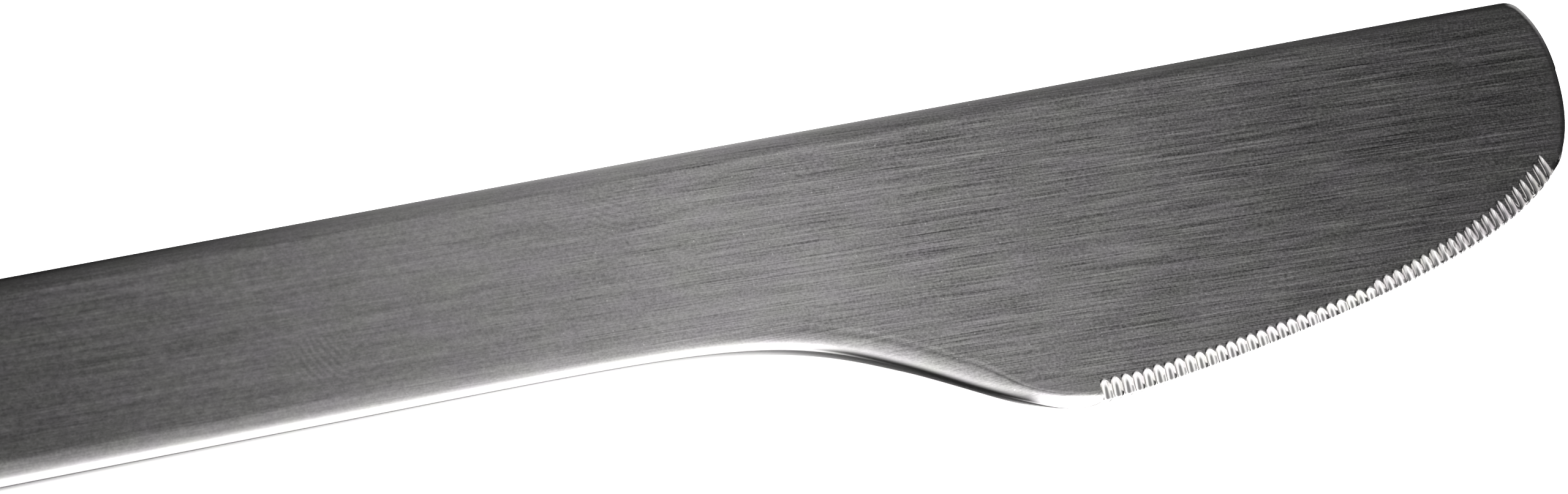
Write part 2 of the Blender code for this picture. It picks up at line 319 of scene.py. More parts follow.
class BladeBorder:
    """The blade's outline at each column of the mesh: places, ways inward and shares along the flutes."""

    def __init__(self):
        line = BLADE_LINE
        self.flutes_from = line.mark_of(HEEL.place) + FLUTES_START - FLUTE_PITCH / 2
        self.flutes_to = self.flutes_from + FLUTES * FLUTE_PITCH
        corner_from = line.mark_of(FRONT.place) + CORNER_FROM
        corner_to = line.mark_of(TIP_END.place) + CORNER_TO
        self.marks = np.concatenate([
            spaced(0, self.flutes_from, NECK_STEP),
            spaced(self.flutes_from, self.flutes_to, FLUTE_PITCH / FLUTE_COLUMNS),
            spaced(self.flutes_to, corner_from, FRONT_STEP),
            spaced(corner_from, corner_to, CORNER_STEP),
            spaced(corner_to, line.length, SPINE_STEP),
            [line.length],
        ])
        self.places = line.at(self.marks)
        self.share = (self.marks - self.flutes_from) / (self.flutes_to - self.flutes_from)
        self.among = (self.share > 0) & (self.share < 1)
        self.lean_inward()

    def lean_inward(self):
        """The direction in which the mesh's columns run in from the outline."""
        square = BLADE_LINE.normal(self.marks)
        square[0] = (0, 1)
        square[-1] = (0, -1)
        self.fluted = smoothstep(self.marks, self.flutes_from - LEAN_IN, self.flutes_from)
        self.fluted *= 1 - smoothstep(self.marks, self.flutes_to, self.flutes_to + LEAN_OUT)
        self.inward = unit(mix(square, uphill(self.share), self.fluted[:, None]))


class Flutes:
    """The cuts of the grinder at each column of the mesh: round troughs that rise from the edge."""

    def __init__(self, border):
        chance = np.random.default_rng(FLUTE_SEED)
        longer = 1 + FLUTE_SPREAD * chance.uniform(-1, 1, FLUTES)
        longer[SHORT_FLUTE] = SHORT_SHARE
        share = np.arange(FLUTES) / (FLUTES - 1)
        length = between(FLUTE_LENGTHS, share) * longer
        start = border.flutes_from + np.arange(FLUTES) * FLUTE_PITCH
        rim = BLADE_LINE.at(start + FLUTE_PITCH / 2) + length[:, None] * uphill(share)
        height = half_thickness(rim, 1)
        slope = height * (1 - FLUTE_FLOOR) / length
        edge_run = BLADE_LINE.at(start + FLUTE_PITCH) - BLADE_LINE.at(start)
        climb = np.sum(edge_run * uphill(share), axis=1) / FLUTE_PITCH

        number = np.clip(border.share * FLUTES, 0, FLUTES - 1).astype(int)
        aside = clamp((border.marks - start[number]) / FLUTE_PITCH) - FLUTE_SKEW
        aside = aside / np.where(aside < 0, FLUTE_SKEW, 1 - FLUTE_SKEW)
        self.near_tip = smoothstep(share[number], TIP_FLUTES, 1)
        aside = aside / mix(1, TIP_WIDTH, self.near_tip)
        self.aside = np.clip(aside, -1, 1)
        depth = mix(FLUTE_DEPTH, height[number] * (1 - FLUTE_FLOOR) * TIP_DEPTH, self.near_tip)
        bowl = depth * np.abs(self.aside) ** mix(*FLUTE_POWERS, self.near_tip)
        self.slope = slope[number]
        from_middle = border.marks - start[number] - FLUTE_PITCH / 2
        straight = self.slope * climb[number] * from_middle
        self.base = height[number] * FLUTE_FLOOR + bowl + straight
        self.rims = (height[number] - self.base) / self.slope
        self.among = border.among & (np.abs(aside) <= 1)

    def flute_shade(self, below_face):
        """Painted shade on the floor: a darker wedge that gets wider to the edge."""
        reach = mix(*SHADE_SIDES, clamp(below_face / SHADE_WIDEST))
        reach = reach * mix(1, TIP_SHADE_REACH, self.near_tip)
        wedge = smoothstep(np.abs(self.aside - SHADE_MIDDLE) / reach, 1, SHADE_CORE)
        return smoothstep(below_face / mix(1, TIP_SHADE_DEPTH, self.near_tip), *SHADE_DEPTHS) * wedge

    def heights(self, depths):
        """Heights at each ring and column, and infinity where nothing is ground."""
        return np.where(self.among, self.base + depths * self.slope, np.inf)


def ring_depths(border, flutes):
    """How far the mesh's rings lie inside the outline at each column.

    They are close together in the rounded border, and among the flutes two of them follow the rims.
    """
    fine = HANDLE_ROUND * (1 - np.cos(ROUND_TURNS))
    plain = np.concatenate([fine, np.arange(HANDLE_ROUND + RING_STEP, RINGS_END, RING_STEP)])
    inside = np.linspace(0, 1, FLUTE_RINGS + 1)[:, None]
    outside = np.linspace(0, 1, len(plain) - len(inside))[:, None]
    fitted = np.vstack([
        inside * (flutes.rims - FLUTE_RIM / 2),
        mix(flutes.rims + FLUTE_RIM / 2, plain[-1], outside),
    ])
    return mix(plain[:, None], fitted, border.fluted)


def scalloped(border, depths):
    """Places of the rings' points. Near the edge the rings step back a little in each flute."""
    from_middle = np.abs((border.share * FLUTES) % 1 - 0.5) * 2
    step_back = SCALLOP * (1 - from_middle ** 2) * border.among
    reach = step_back + depths * (1 - step_back / depths[-1])
    return border.places + reach[:, :, None] * border.inward


def quads(rows, columns):
    """Faces of a grid of vertices with that many rows and columns."""
    index = np.arange(rows * columns).reshape(rows, columns)
    corners = [index[:-1, :-1], index[:-1, 1:], index[1:, 1:], index[1:, :-1]]
    return np.stack(corners, axis=-1).reshape(-1, 4).tolist()


def inner_net(ring):
    """Points that fill a ring, and triangles between them. Their corners count the ring's points first."""
    low = ring.min(axis=0)
    high = ring.max(axis=0)
    grid = np.stack(np.meshgrid(*[np.arange(a, b, INNER_GRID) for a, b in zip(low, high)]), axis=-1)
    grid = grid.reshape(-1, 2)
    clear = BLADE_LINE.distance_to(grid) > RINGS_END + INNER_MARGIN
    clear &= grid[:, 0] > JOINT_X + INNER_MARGIN
    points = np.vstack([ring, grid[clear]])
    count = len(ring)
    edges = [(i, (i + 1) % count) for i in range(count)]
    made = delaunay_2d_cdt([Vector(point) for point in points], edges, [], INSIDE_ONLY, SAME_PLACE)
    triangles = made[2]
    source = [sources[0] for sources in made[3]]
    faces = [[source[corner] for corner in face] for face in triangles]
    used = {corner for face in faces for corner in face}
    order = list(range(count)) + sorted(used - set(range(count)))
    place_of = {name: place for place, name in enumerate(order)}
    return points[order[count:]], [[place_of[corner] for corner in face] for face in faces]


def edge_marks(inside):
    """How polished the steel is, which also lightens its colour as a painted highlight, and how near its
    border, by the distance inside the outline.
    """
    return {"polish_highlight": 1 - clamp(inside / BLADE_ROUND), "border": 1 - clamp(inside / HANDLE_ROUND)}


def mesh_object(name, points, faces, marks):
    """A new object. marks are numbers for each vertex, kept under their names for the materials."""
    mesh = bpy.data.meshes.new(name)
    mesh.from_pydata(points.tolist(), [], faces)
    for title, values in marks.items():
        layer = mesh.attributes.new(title, "FLOAT", "POINT")
        layer.data.foreach_set("value", np.asarray(values, np.float32))
    obj = bpy.data.objects.new(name, mesh)
    bpy.context.scene.collection.objects.link(obj)
    return obj


def brush_map(mesh):
    """A UV map whose first axis follows the brushing, along the knife."""
    layer = mesh.uv_layers.new(name=BRUSH_MAP)
    corners = np.empty(len(mesh.loops), np.int32)
    mesh.loops.foreach_get("vertex_index", corners)
    places = np.empty(len(mesh.vertices) * 3, np.float32)
    mesh.vertices.foreach_get("co", places)
    x, y, z = places.reshape(-1, 3)[corners].T / (TIP_X - BUTT_X)
    along, across = MAP_SHIFT
    layer.uv.foreach_set("vector", np.stack([x + along * z, y + across * z], axis=-1).ravel())


def finish_mesh(obj):
    """Smooth shading apart from real corners, and the map for the brushing."""
    obj.data.shade_smooth()
    obj.data.set_sharp_from_angle(angle=SHARP_ANGLE)
    brush_map(obj.data)


def add_tail(mesh):
    """Closes the shoulder and grows the spigot and the tang from it."""
    bm = bmesh.new()
    bm.from_mesh(mesh)
    rim = [edge for edge in bm.edges if edge.is_boundary]
    tail = bmesh.ops.edgeloop_fill(bm, edges=rim)["faces"][0]
    width = SPINE_Y - NECK_Y
    inside = 2 * (SHEET + GAP)
    steps = ((width - inside, THICK - inside, SPIGOT), (TANG_WIDTH, TANG_THICK, TANG_LENGTH))
    for step_width, step_height, length in steps:
        bmesh.ops.inset_individual(bm, faces=[tail], thickness=SHOULDER_INSET)
        places = np.array([vert.co for vert in tail.verts])
        low = places.min(axis=0)
        high = places.max(axis=0)
        size = Vector((1, step_width / (high[1] - low[1]), step_height / (high[2] - low[2])))
        to_middle = Matrix.Translation(-Vector((low + high) / 2))
        bmesh.ops.scale(bm, verts=tail.verts, vec=size, space=to_middle)
        made = bmesh.ops.extrude_discrete_faces(bm, faces=[tail])
        tail = made["faces"][0]
        bmesh.ops.translate(bm, verts=tail.verts, vec=(-length, 0, 0))
    bmesh.ops.recalc_face_normals(bm, faces=bm.faces)
    bm.to_mesh(mesh)
    bm.free()


def blade_faces(rows, columns, triangles, count):
    """Faces of the upper skin, of the lower one and of the walls between them along the outline.

    Each skin has that many vertices: the rings from the outside in, and then the inner points.
    """
    innermost = (rows - 1) * columns
    upper = quads(rows, columns) + [[corner + innermost for corner in face] for face in triangles]
    lower = [[corner + count for corner in reversed(face)] for face in upper]
    walls = [[i, i + count, i + 1 + count, i + 1] for i in range(columns - 1)]
    return upper + lower + walls


def make_blade(finish):
    """The blade with its neck, border and flutes, and the tail inside the handle."""
    border = BladeBorder()
    flutes = Flutes(border)
    depths = ring_depths(border, flutes)
    rings = scalloped(border, depths)
    inner, triangles = inner_net(rings[-1])
    flat = rings.reshape(-1, 2)
    plan = np.vstack([flat, inner])
    count = len(plan)

    smooth = half_thickness(flat, 1).reshape(depths.shape)
    cuts = flutes.heights(depths)
    above = np.concatenate([np.minimum(smooth, cuts).ravel(), half_thickness(inner, 1)])
    below = np.concatenate([half_thickness(flat, -1), half_thickness(inner, -1)])
    points = np.vstack([np.column_stack([plan, MID_Z + z]) for z in (above, -below)])

    below_face = smooth - cuts
    on_flutes = {"ground_highlight": smoothstep(below_face, *GROUND_DEPTHS), "flute_shade": flutes.flute_shade(below_face)}
    none = np.zeros(len(inner))
    marks = {}
    for title, values in on_flutes.items():
        marks[title] = np.concatenate([values.ravel(), none, np.zeros(count)])
    for title, values in edge_marks(BLADE_LINE.distance_to(flat)).items():
        marks[title] = np.concatenate([values, none] * 2)

    blade = mesh_object("blade_steel", points, blade_faces(*depths.shape, triangles, count), marks)
    add_tail(blade.data)
    finish_mesh(blade)
    blade.data.materials.append(finish)
    return blade


def shell_columns():
    """Places along the handle's outline, and the way inward from each."""
    line = HANDLE_LINE
    butt_from = line.mark_of(BUTT_TOP.place)
    butt_to = line.mark_of(BUTT_LOW.place)
    marks = np.concatenate([
        spaced(0, butt_from, HANDLE_STEP),
        spaced(butt_from, butt_to, BUTT_STEP),
        spaced(butt_to, line.length, SPINE_STEP),
        [line.length],
    ])
    inward = line.normal(marks)
    inward[0] = (0, -1)
    inward[-1] = (0, 1)
    return line.at(marks), inward


def thicken(shell):
    """Gives a surface the thickness of the sheet, on its inside."""
    sheet = shell.modifiers.new("sheet", "SOLIDIFY")
    sheet.thickness = SHEET
    sheet.offset = -1
    sheet.use_even_offset = True
    graph = bpy.context.evaluated_depsgraph_get()
    shell.data = bpy.data.meshes.new_from_object(shell.evaluated_get(graph))
    shell.modifiers.clear()


def make_shell(name, side, finish):
    """Half of the handle, drawn from sheet: a flat face, a rounded border and a wall.

    It is the upper half with side 1, and the lower one with side -1.
    """
    places, inward = shell_columns()
    depths = np.concatenate([[0], HANDLE_ROUND * (1 - np.cos(ROUND_TURNS)), [HANDLE_ROUND + FACE_RIM]])
    wall = THICK / 2 - HANDLE_ROUND
    heights = np.concatenate([[0], wall + HANDLE_ROUND * np.sin(ROUND_TURNS), [THICK / 2]])
    plan = places + depths[:, None, None] * inward
    rows, columns = plan.shape[:2]
    points = np.column_stack([plan.reshape(-1, 2), MID_Z + side * np.repeat(heights, columns)])
    face = list(range((rows - 1) * columns, rows * columns))
    faces = quads(rows, columns) + [face]
    if side < 0:
        faces = [corners[::-1] for corners in faces]
    shell = mesh_object(name, points, faces, edge_marks(np.repeat(depths, columns)))
    thicken(shell)
    finish_mesh(shell)
    shell.data.materials.append(finish)
    return shell


class Nodes:
    """Adds nodes to a tree. Inputs are plain values or other nodes' outputs."""

    def __init__(self, tree):
        self.tree = tree
        tree.nodes.clear()

    def add(self, kind, inputs=None, **settings):
        node = self.tree.nodes.new(kind)
        for name, value in settings.items():
            setattr(node, name, value)
        for name, value in (inputs or {}).items():
            if isinstance(value, bpy.types.NodeSocket):
                self.tree.links.new(value, node.inputs[name])
            else:
                node.inputs[name].default_value = value
        return node

    def math(self, operation, a, b=0.0):
        return self.add("ShaderNodeMath", {0: a, 1: b}, operation=operation).outputs[0]

    def total(self, *values):
        result = values[0]
        for value in values[1:]:
            result = self.math("ADD", result, value)
        return result

    def product(self, *values):
        result = values[0]
        for value in values[1:]:
            result = self.math("MULTIPLY", result, value)
        return result

    def ramp(self, value, low, high, to_low=0.0, to_high=1.0):
        """A smooth step from one value to another."""
        inputs = {"Value": value, "From Min": low, "From Max": high, "To Min": to_low, "To Max": to_high}
        node = self.add("ShaderNodeMapRange", inputs, interpolation_type="SMOOTHSTEP")
        return node.outputs["Result"]

    def ramps(self, value, *several):
        """The sum of a few smooth steps."""
        return self.total(*[self.ramp(value, *ramp) for ramp in several])

    def blend(self, share, a, b):
        """A mix of two numbers, which are the third and fourth input of the node."""
        return self.add("ShaderNodeMix", {0: share, 2: a, 3: b}, data_type="FLOAT").outputs[0]

    def blend_colours(self, share, a, b):
        """A mix of two colours, which are the seventh and eighth input of the node."""
        return self.add("ShaderNodeMix", {0: share, 6: a, 7: b}, data_type="RGBA").outputs[2]

    def grey(self, value):
        inputs = {"Red": value, "Green": value, "Blue": value}
        return self.add("ShaderNodeCombineColor", inputs).outputs["Color"]

    def vector(self, operation, a, b):
        return self.add("ShaderNodeVectorMath", {0: a, 1: b}, operation=operation)

    def noise(self, place, scale, detail=1.0, roughness=0.5):
        """Noise stretched by different scales along the axes."""
        stretched = self.vector("MULTIPLY", place, scale).outputs["Vector"]
        inputs = {"Vector": stretched, "Scale": 1.0, "Detail": detail, "Roughness": roughness}
        return self.add("ShaderNodeTexNoise", inputs).outputs[0]

    def centred(self, value, strength):
        """A pattern from 0 to 1 as a small change around 0."""
        return self.product(self.math("SUBTRACT", value, 0.5), 2 * strength)

    def place_mm(self):
        spot = self.add("ShaderNodeTexCoord").outputs["Object"]
        return self.add("ShaderNodeVectorMath", {0: spot, "Scale": 1 / MM}, operation="SCALE").outputs[0]

    def attribute(self, name):
        return self.add("ShaderNodeAttribute", attribute_name=name).outputs["Fac"]

    def surface(self, inputs):
        shader = self.add("ShaderNodeBsdfPrincipled", inputs)
        self.add("ShaderNodeOutputMaterial", {"Surface": shader.outputs["BSDF"]})


# Brush marks, in millimetres
BRUSH_SLOPE = 0.021  # the brushing isn't quite in line with the knife
BRUSH_BEND = 0.00009  # and its slope changes along the knife
SWAY = 0.1  # how far its lines wander
SWAY_SCALE = (0.02, 0.05, 0.05)
CRISP = (-5.0, 60.0)  # from here to there along the knife the brushing gets crisper
BrushLayer = namedtuple("BrushLayer", "scale worn crisp")  # noise per mm, and strength on handle and blade
BRUSH_LAYERS = (
    BrushLayer((0.2, 16.0, 4.0), 0.0, 0.9),
    BrushLayer((0.1, 7.0, 2.0), 0.0, 0.4),
    BrushLayer((0.4, 7.0, 7.0), 0.22, 0.0),
    BrushLayer((0.14, 3.2, 1.0), 0.22, 0.16),
    BrushLayer((0.06, 1.2, 1.2), 0.22, 0.16),
    BrushLayer((0.05, 0.16, 0.16), 0.12, 0.12),
    BrushLayer((2.2, 2.6, 2.6), 0.25, 0.06),
    BrushLayer((6.0, 7.0, 7.0), 0.24, 0.7),
)
SCRATCH_SCALE = (0.12, 9.0, 2.0)
SCRATCHES = ((0.68, 0.8, 0.0, 0.4), (0.32, 0.2, 0.0, -0.3))  # pale ones and dark ones

# Specks and finger marks, in millimetres
SPECKS_PER_MM = 0.55
SPECK_SIZE = (0.04, 0.015)  # where a speck begins and where it is full, as shares of its cell
SPECK_CHANCE = (0.6, 0.7)  # cells whose chance is lower have no speck
SPECK_GAIN = 0.9
FingerMark = namedtuple("FingerMark", "spot bow size")
FINGER_MARKS = (
    FingerMark((8.8, 1.7), (14.3, 4.7), 2.9),
    FingerMark((30.5, 7.9), (33.0, 12.5), 2.3),
)
RIDGE_PITCH = 0.45
FINGER_FADE = 0.3  # share of its size in which a mark is full
FINGER_GAIN = 0.1

# Tone and gloss of the steel, with painted highlights and painted shade
FACE_TONE = 0.53
# the next two colours are lighter than the face as painted highlights, on the polished border and on the
# ground flutes
POLISHED_HIGHLIGHT_TONE = 0.66
GROUND_HIGHLIGHT_TONE = 0.95
# painted shade: a darker colour in a wedge of each flute's floor
PAINTED_SHADE_TONE = 0.2
DARKEST = 0.25  # what the marks leave of the tone at least
RED_SHARE = 1.012
OTHER_SHARE = 0.988
TINT_SCALE = (0.3, 0.5, 0.5)
TINT_CHANGE = 0.04
FACE_ROUGH = 0.24
ROUGH_CHANGE = 0.06
POLISHED_ROUGH = 0.16
BORDER_WEAR = 0.75  # share of the marks that is worn off at the border
MARK_DEPTH = 0.002 * MM
MARK_BUMP = 0.15
ANISOTROPY = 0.5
QUARTER_TURN = 0.25

# Cement, with noise per millimetre
CEMENT_DARK = (0.40, 0.37, 0.32, 1)
CEMENT_PALE = (0.64, 0.61, 0.54, 1)
CEMENT_ROUGH = 0.85
CEMENT_ROUGH_CHANGE = 0.08
GRAIN_SCALE = (2.5, 2.5, 2.5)
GRAIN_DETAIL = 6.0
GRAIN_ROUGHNESS = 0.65
GRAIN_DEPTH = 0.1 * MM
GRAIN_BUMP = 0.5
BLOTCH_SCALE = (0.25, 0.25, 0.25)
BLOTCH_DETAIL = 3.0


def new_material(name):
    made = bpy.data.materials.new(name)
    made.use_nodes = True
    return made, Nodes(made.node_tree)


def brush_marks(nodes, place, crisp):
    """Brush marks along the knife, as a change around 0: scratches, hairs, wider streaks and grain."""
    x = nodes.add("ShaderNodeSeparateXYZ", {0: place}).outputs["X"]
    sway = nodes.centred(nodes.noise(place, SWAY_SCALE), SWAY)
    slope = nodes.total(BRUSH_SLOPE, nodes.product(x, BRUSH_BEND))
    shift = nodes.add("ShaderNodeCombineXYZ", {"Y": nodes.total(nodes.product(x, slope), sway)})
    place = nodes.vector("ADD", place, shift.outputs["Vector"]).outputs["Vector"]
    line = nodes.noise(place, SCRATCH_SCALE, detail=0.0)
    marks = nodes.product(nodes.ramps(line, *SCRATCHES), crisp)
    for layer in BRUSH_LAYERS:
        strength = nodes.blend(crisp, 2 * layer.worn, 2 * layer.crisp)
        pattern = nodes.math("SUBTRACT", nodes.noise(place, layer.scale), 0.5)
        marks = nodes.total(marks, nodes.product(pattern, strength))
    return marks


def bright_specks(nodes, place):
    """Tiny spots that catch the light, scattered over the steel."""
    inputs = {"Vector": place, "Scale": SPECKS_PER_MM}
    cells = nodes.add("ShaderNodeTexVoronoi", inputs, voronoi_dimensions="2D", feature="F1")
    chance = nodes.add("ShaderNodeSeparateColor", {0: cells.outputs["Color"]}).outputs[0]
    spots = nodes.ramp(cells.outputs["Distance"], *SPECK_SIZE)
    return nodes.product(spots, nodes.ramp(chance, *SPECK_CHANCE))


def finger_mark(nodes, place, mark):
    """Faint curved ridges left by a finger: rings around its bow, shown near its spot on the upper face."""
    from_bow = nodes.vector("DISTANCE", place, (*mark.bow, THICK / MM)).outputs["Value"]
    from_spot = nodes.vector("DISTANCE", place, (*mark.spot, THICK / MM)).outputs["Value"]
    ridges = nodes.math("SINE", nodes.product(from_bow, 2 * math.pi / RIDGE_PITCH))
    return nodes.product(ridges, nodes.ramp(from_spot, mark.size, FINGER_FADE * mark.size))


def tinted(nodes, tone, place):
    """A slightly warm grey, in places more and in places less."""
    change = nodes.centred(nodes.noise(place, TINT_SCALE, detail=2.0), TINT_CHANGE)
    inputs = {
        "Red": nodes.product(tone, RED_SHARE),
        "Green": nodes.product(tone, nodes.total(OTHER_SHARE, change)),
        "Blue": nodes.product(tone, nodes.math("SUBTRACT", OTHER_SHARE, change)),
    }
    return nodes.add("ShaderNodeCombineColor", inputs).outputs["Color"]


def brushed_steel():
    """Steel brushed along the knife, and smoother on the flutes the grinder cut and on polished edges.
    There its colour is lighter, a painted highlight, and a wedge in each flute's floor is darker, a painted
    shade.

    Hands have worn the brushing of the handle, so it is crisp on the blade only.
    """
    made, nodes = new_material("brushed_steel")
    place = nodes.place_mm()
    ground_highlight = nodes.attribute("ground_highlight")
    flute_shade = nodes.attribute("flute_shade")
    polish_highlight = nodes.attribute("polish_highlight")
    border = nodes.attribute("border")
    crisp = nodes.ramp(nodes.add("ShaderNodeSeparateXYZ", {0: place}).outputs["X"], *CRISP)
    unworn = nodes.math("SUBTRACT", 1.0, nodes.product(border, BORDER_WEAR))
    marks = nodes.product(brush_marks(nodes, place, crisp), unworn)
    details = nodes.total(marks, nodes.product(bright_specks(nodes, place), crisp, SPECK_GAIN))
    for mark in FINGER_MARKS:
        details = nodes.total(details, nodes.product(finger_mark(nodes, place, mark), FINGER_GAIN))
    brushed = nodes.math("MAXIMUM", nodes.total(1.0, details), DARKEST)

    bright = nodes.math("MAXIMUM", ground_highlight, polish_highlight)
    # painted highlight on polished edges and ground flutes, and painted shade in each flute's floor
    painted_light_tone = nodes.blend(ground_highlight, POLISHED_HIGHLIGHT_TONE, nodes.blend(flute_shade, GROUND_HIGHLIGHT_TONE, PAINTED_SHADE_TONE))
    tone = nodes.blend(bright, nodes.product(brushed, FACE_TONE), painted_light_tone)
    face_rough = nodes.total(FACE_ROUGH, nodes.product(marks, ROUGH_CHANGE))
    bump = nodes.add("ShaderNodeBump", {"Height": marks, "Strength": MARK_BUMP, "Distance": MARK_DEPTH})
    tangent = nodes.add("ShaderNodeTangent", direction_type="UV_MAP", uv_map=BRUSH_MAP)
    nodes.surface({
        "Base Color": tinted(nodes, tone, place),
        "Metallic": 1.0,
        "Roughness": nodes.blend(bright, face_rough, POLISHED_ROUGH),
        "Normal": bump.outputs["Normal"],
        "Anisotropic": ANISOTROPY,
        "Anisotropic Rotation": QUARTER_TURN,
        "Tangent": tangent.outputs["Tangent"],
    })
    return made


def cast_cement():
    """The filling inside the handle: a grainy grey-brown casting."""
    made, nodes = new_material("cast_cement")
    place = nodes.place_mm()
    grain = nodes.noise(place, GRAIN_SCALE, GRAIN_DETAIL, GRAIN_ROUGHNESS)
    blotch = nodes.noise(place, BLOTCH_SCALE, BLOTCH_DETAIL)
    share = nodes.math("MULTIPLY", nodes.total(grain, blotch), 0.5)
    bump = nodes.add("ShaderNodeBump", {"Height": grain, "Strength": GRAIN_BUMP, "Distance": GRAIN_DEPTH})
    nodes.surface({
        "Base Color": nodes.blend_colours(share, CEMENT_DARK, CEMENT_PALE),
        "Roughness": nodes.total(CEMENT_ROUGH, nodes.centred(grain, CEMENT_ROUGH_CHANGE)),
        "Normal": bump.outputs["Normal"],
    })
    return made


# Floor and lamp
FLOOR_SIZE = 3.0
FLOOR_DROP = 0.02 * MM
FLOOR_WHITE = (0.9, 0.9, 0.9, 1)
FLOOR_ROUGH = 0.9
FLOOR_GLOW = 0.7
LAMP_SIZE = 2.0
LAMP_POWER = 90
LAMP_HEIGHT = 1.5


def make_floor():
    """A plain pale floor. The steel reflects the light of the studio instead of it."""
    bm = bmesh.new()
    bmesh.ops.create_grid(bm, x_segments=1, y_segments=1, size=FLOOR_SIZE / 2)
    mesh = bpy.data.meshes.new("floor")
    bm.to_mesh(mesh)
    bm.free()
    floor = bpy.data.objects.new("floor", mesh)
    bpy.context.scene.collection.objects.link(floor)
    floor.location.z = FLOOR_Z - FLOOR_DROP
    floor.visible_glossy = False
    made, nodes = new_material("pale_floor")
    nodes.surface({
        "Base Color": FLOOR_WHITE,
        "Roughness": FLOOR_ROUGH,
        "Emission Color": FLOOR_WHITE,
        "Emission Strength": FLOOR_GLOW,
    })
    mesh.materials.append(made)


def make_lamp():
    """A wide lamp above that lights the floor. The steel doesn't reflect it either."""
    light = bpy.data.lights.new("overhead", "AREA")
    light.size = LAMP_SIZE
    light.energy = LAMP_POWER
    lamp = bpy.data.objects.new("overhead", light)
    lamp.location = (0, 0, LAMP_HEIGHT)
    lamp.visible_glossy = False
    bpy.context.scene.collection.objects.link(lamp)


# Studio light. Ramps over a direction: where they begin and end, and their values there if not 0 and 1
AMBIENT = 0.015
RIGHT_SHIFT = (0.42, 0.62, 0.0, 0.38)  # far to the right, lights in front begin further forward

# Light above, which the flat faces reflect
ABOVE_GAIN = 0.78
ABOVE_LEAST = 0.02
ABOVE_RISE = (0.06, 0.245)  # to the right it grows
ABOVE_PEAK = 0.57
ABOVE_FALLS = ((0.4, 0.28), (0.45, 0.26))  # and then fades
ABOVE_TURN = (0.24, 0.36, 0.0, 0.05)  # to the right, its border at the back lies further forward
SPINE_SIDE = (-0.31, -0.19)  # from that border it grows to its full strength
SPINE_LIGHT = (0.24, 0.3, 0.45, 0.25)
FULL_LIGHT = 1.1
EDGE_SIDE = (-0.2, 0.0)  # and on from there it changes to what the edge's side reflects
EDGE_LIGHT = (0.28, 0.36, 0.5, 1.1)
BACK_WALL = (0.3, 0.6)  # further back, the rounding along the spine reflects it
RIM_LIGHTS = ((0.07, 0.19, -0.45, 0.2), (0.2, 0.33, 0.0, -0.2))
ABOVE_END = (-0.3, 0.1)  # its lower end in front, and at the back
BACK_END = (-1.0, -0.75)

# Light in front, which the border along the belly and the flutes reflect: a left part and a right part
LEFT_LIGHTS = ((-0.02, 0.05, 0.5, 0.14), (0.07, 0.12, 0.0, 0.22))
LEFT_HORIZON = 0.9  # how much brighter it gets down to the horizon
LEFT_END = (-0.65, 0.0)
RIGHT_LIGHTS = ((0.03, 0.13, 0.45, 0.16), (0.28, 0.36, 0.0, 0.34))
RIGHT_HORIZON = (0.1, 0.16, 1.1, 0.8)
RIGHT_END = (-0.35, -0.05)
PARTS_SLANT = 0.4  # further forward, the border between the two lies further left
PARTS_BORDER = (0.32, 0.16)
FRONT_BORDER = (-0.1, 0.3)

# Pale table in front, which lights the lower border
TABLE_GAIN = 2.2
TABLE_TOP = (-0.06, 0.3)
TABLE_LEFT = (-0.185, -0.075)
LEFT_SHIFT = (0.3, 0.7, 0.0, 0.1)  # further down, its left border lies further right
TABLE_BACK = (-0.15, 0.05)
BACK_SHIFT = (0.8, 0.9, 0.0, 0.4)  # and its back border further back
UNDER_FROM = (0.8, 0.92)  # right under the knife it is cut off along a slanting line
UNDER_SLANT = 3.0
UNDER_LIGHT = (-0.76, -0.57, 0.0, 0.9)

# Lights at the back on both sides, by x and y, for views from there
SIDES_GAIN = 0.5
LEFT_SIDE = ((-0.04, -0.22), (0.05, 0.2))
RIGHT_SIDE = ((0.5, 0.7), (0.3, 0.5))
SIDES_END = (-0.8, -0.3)


